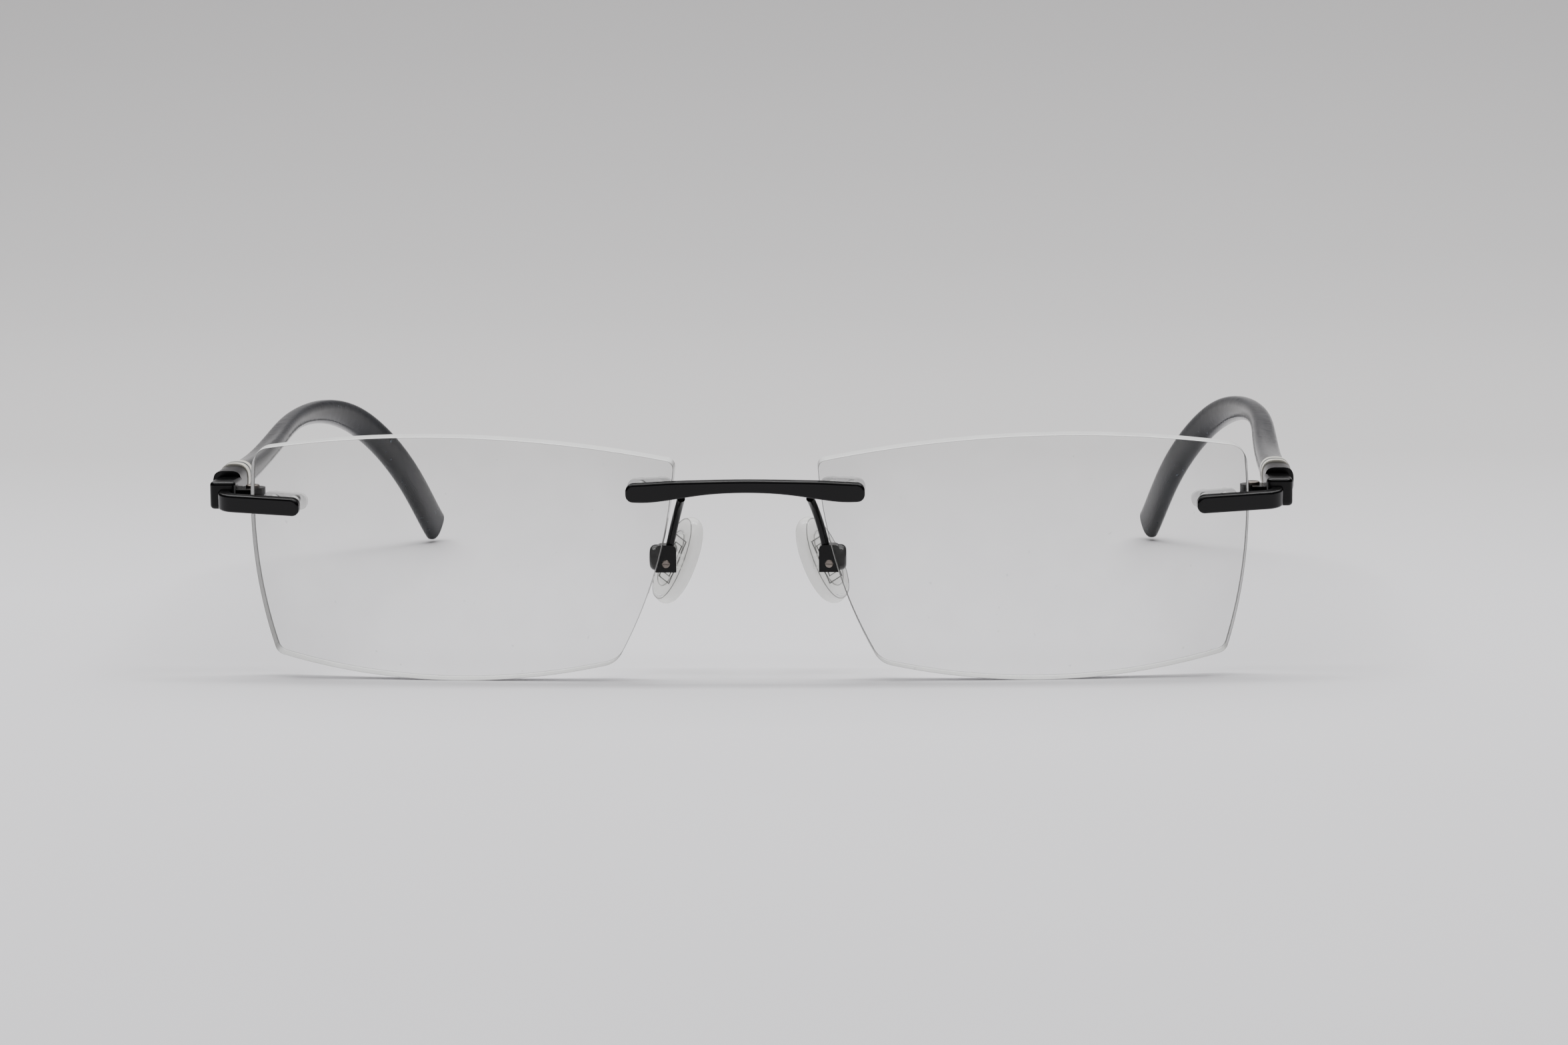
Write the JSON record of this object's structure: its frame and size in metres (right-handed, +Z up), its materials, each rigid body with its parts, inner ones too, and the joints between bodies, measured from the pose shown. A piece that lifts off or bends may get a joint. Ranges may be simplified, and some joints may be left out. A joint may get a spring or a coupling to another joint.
{
  "type": "rimless eyeglasses",
  "caption": "Rimless eyeglasses with drilled clear lenses, black metal bridge and end pieces, screw hinges, ringed black temples that fold, and clear rocking nose pads.",
  "frame": {"origin": "centre of the bounding box on the surface the glasses stand on", "axes": "+X to the wearer's left, +Y from the lenses towards the ears, +Z up"},
  "size_m": [0.137, 0.1306, 0.0307],
  "materials": {
    "lens_clear": "clear polished plastic lens",
    "frame_black": "black semi-gloss coated metal",
    "sleeve_clear": "clear moulded plastic",
    "screw_metal": "dull grey-brown steel",
    "ring_cream": "polished cream acetate",
    "ring_blue": "polished blue-black acetate",
    "acetate_black": "polished black acetate, lightly scuffed",
    "core_wire": "drawn wire",
    "pad_clear": "soft clear plastic, slightly milky",
    "pad_insert": "hard clear plastic insert"
  },
  "bodies": {
    "front": {"bridge": "frame_black", "lens_left": "lens_clear", "lens_right": "lens_clear", "endpiece_left": "frame_black", "endpiece_right": "frame_black", "endpiece_sleeve_left": "sleeve_clear", "endpiece_sleeve_right": "sleeve_clear", "bridge_sleeve_left": "sleeve_clear", "bridge_sleeve_right": "sleeve_clear", "hinge_screw_left": "screw_metal", "hinge_screw_right": "screw_metal", "pad_arm_left": "frame_black", "pad_arm_right": "frame_black", "pad_box_left": "frame_black", "pad_box_right": "frame_black", "pad_screw_left": "screw_metal", "pad_screw_right": "screw_metal"},
    "temple_left_arm": {"ferrule_left": "frame_black", "ring_front_left": "ring_cream", "ring_dark_left": "ring_blue", "ring_rear_left": "ring_cream", "temple_left": "acetate_black", "temple_core_left": "core_wire"},
    "pad_left": {"pad_core_left": "pad_insert", "nose_pad_left": "pad_clear"},
    "temple_right_arm": {"ferrule_right": "frame_black", "ring_front_right": "ring_cream", "ring_dark_right": "ring_blue", "ring_rear_right": "ring_cream", "temple_right": "acetate_black", "temple_core_right": "core_wire"},
    "pad_right": {"pad_core_right": "pad_insert", "nose_pad_right": "pad_clear"}
  },
  "joints": [
    {"name": "temple_left_hinge", "type": "hinge", "parent": "front", "child": "temple_left_arm", "pos_m": [0.0621, -0.05229, 0.02156], "axis": [0, 0, 1], "range_deg": [0, 84]},
    {"name": "temple_right_hinge", "type": "hinge", "parent": "front", "child": "temple_right_arm", "pos_m": [-0.0621, -0.05229, 0.02156], "axis": [0, 0, -1], "range_deg": [0, 74]},
    {"name": "pad_left_rock", "type": "hinge", "parent": "front", "child": "pad_left", "pos_m": [0.01, -0.05934, 0.01431], "axis": [0, 1, 0], "range_deg": [-7, 7]},
    {"name": "pad_right_rock", "type": "hinge", "parent": "front", "child": "pad_right", "pos_m": [-0.01, -0.05934, 0.01431], "axis": [0, -1, 0], "range_deg": [-7, 7]}
  ]
}
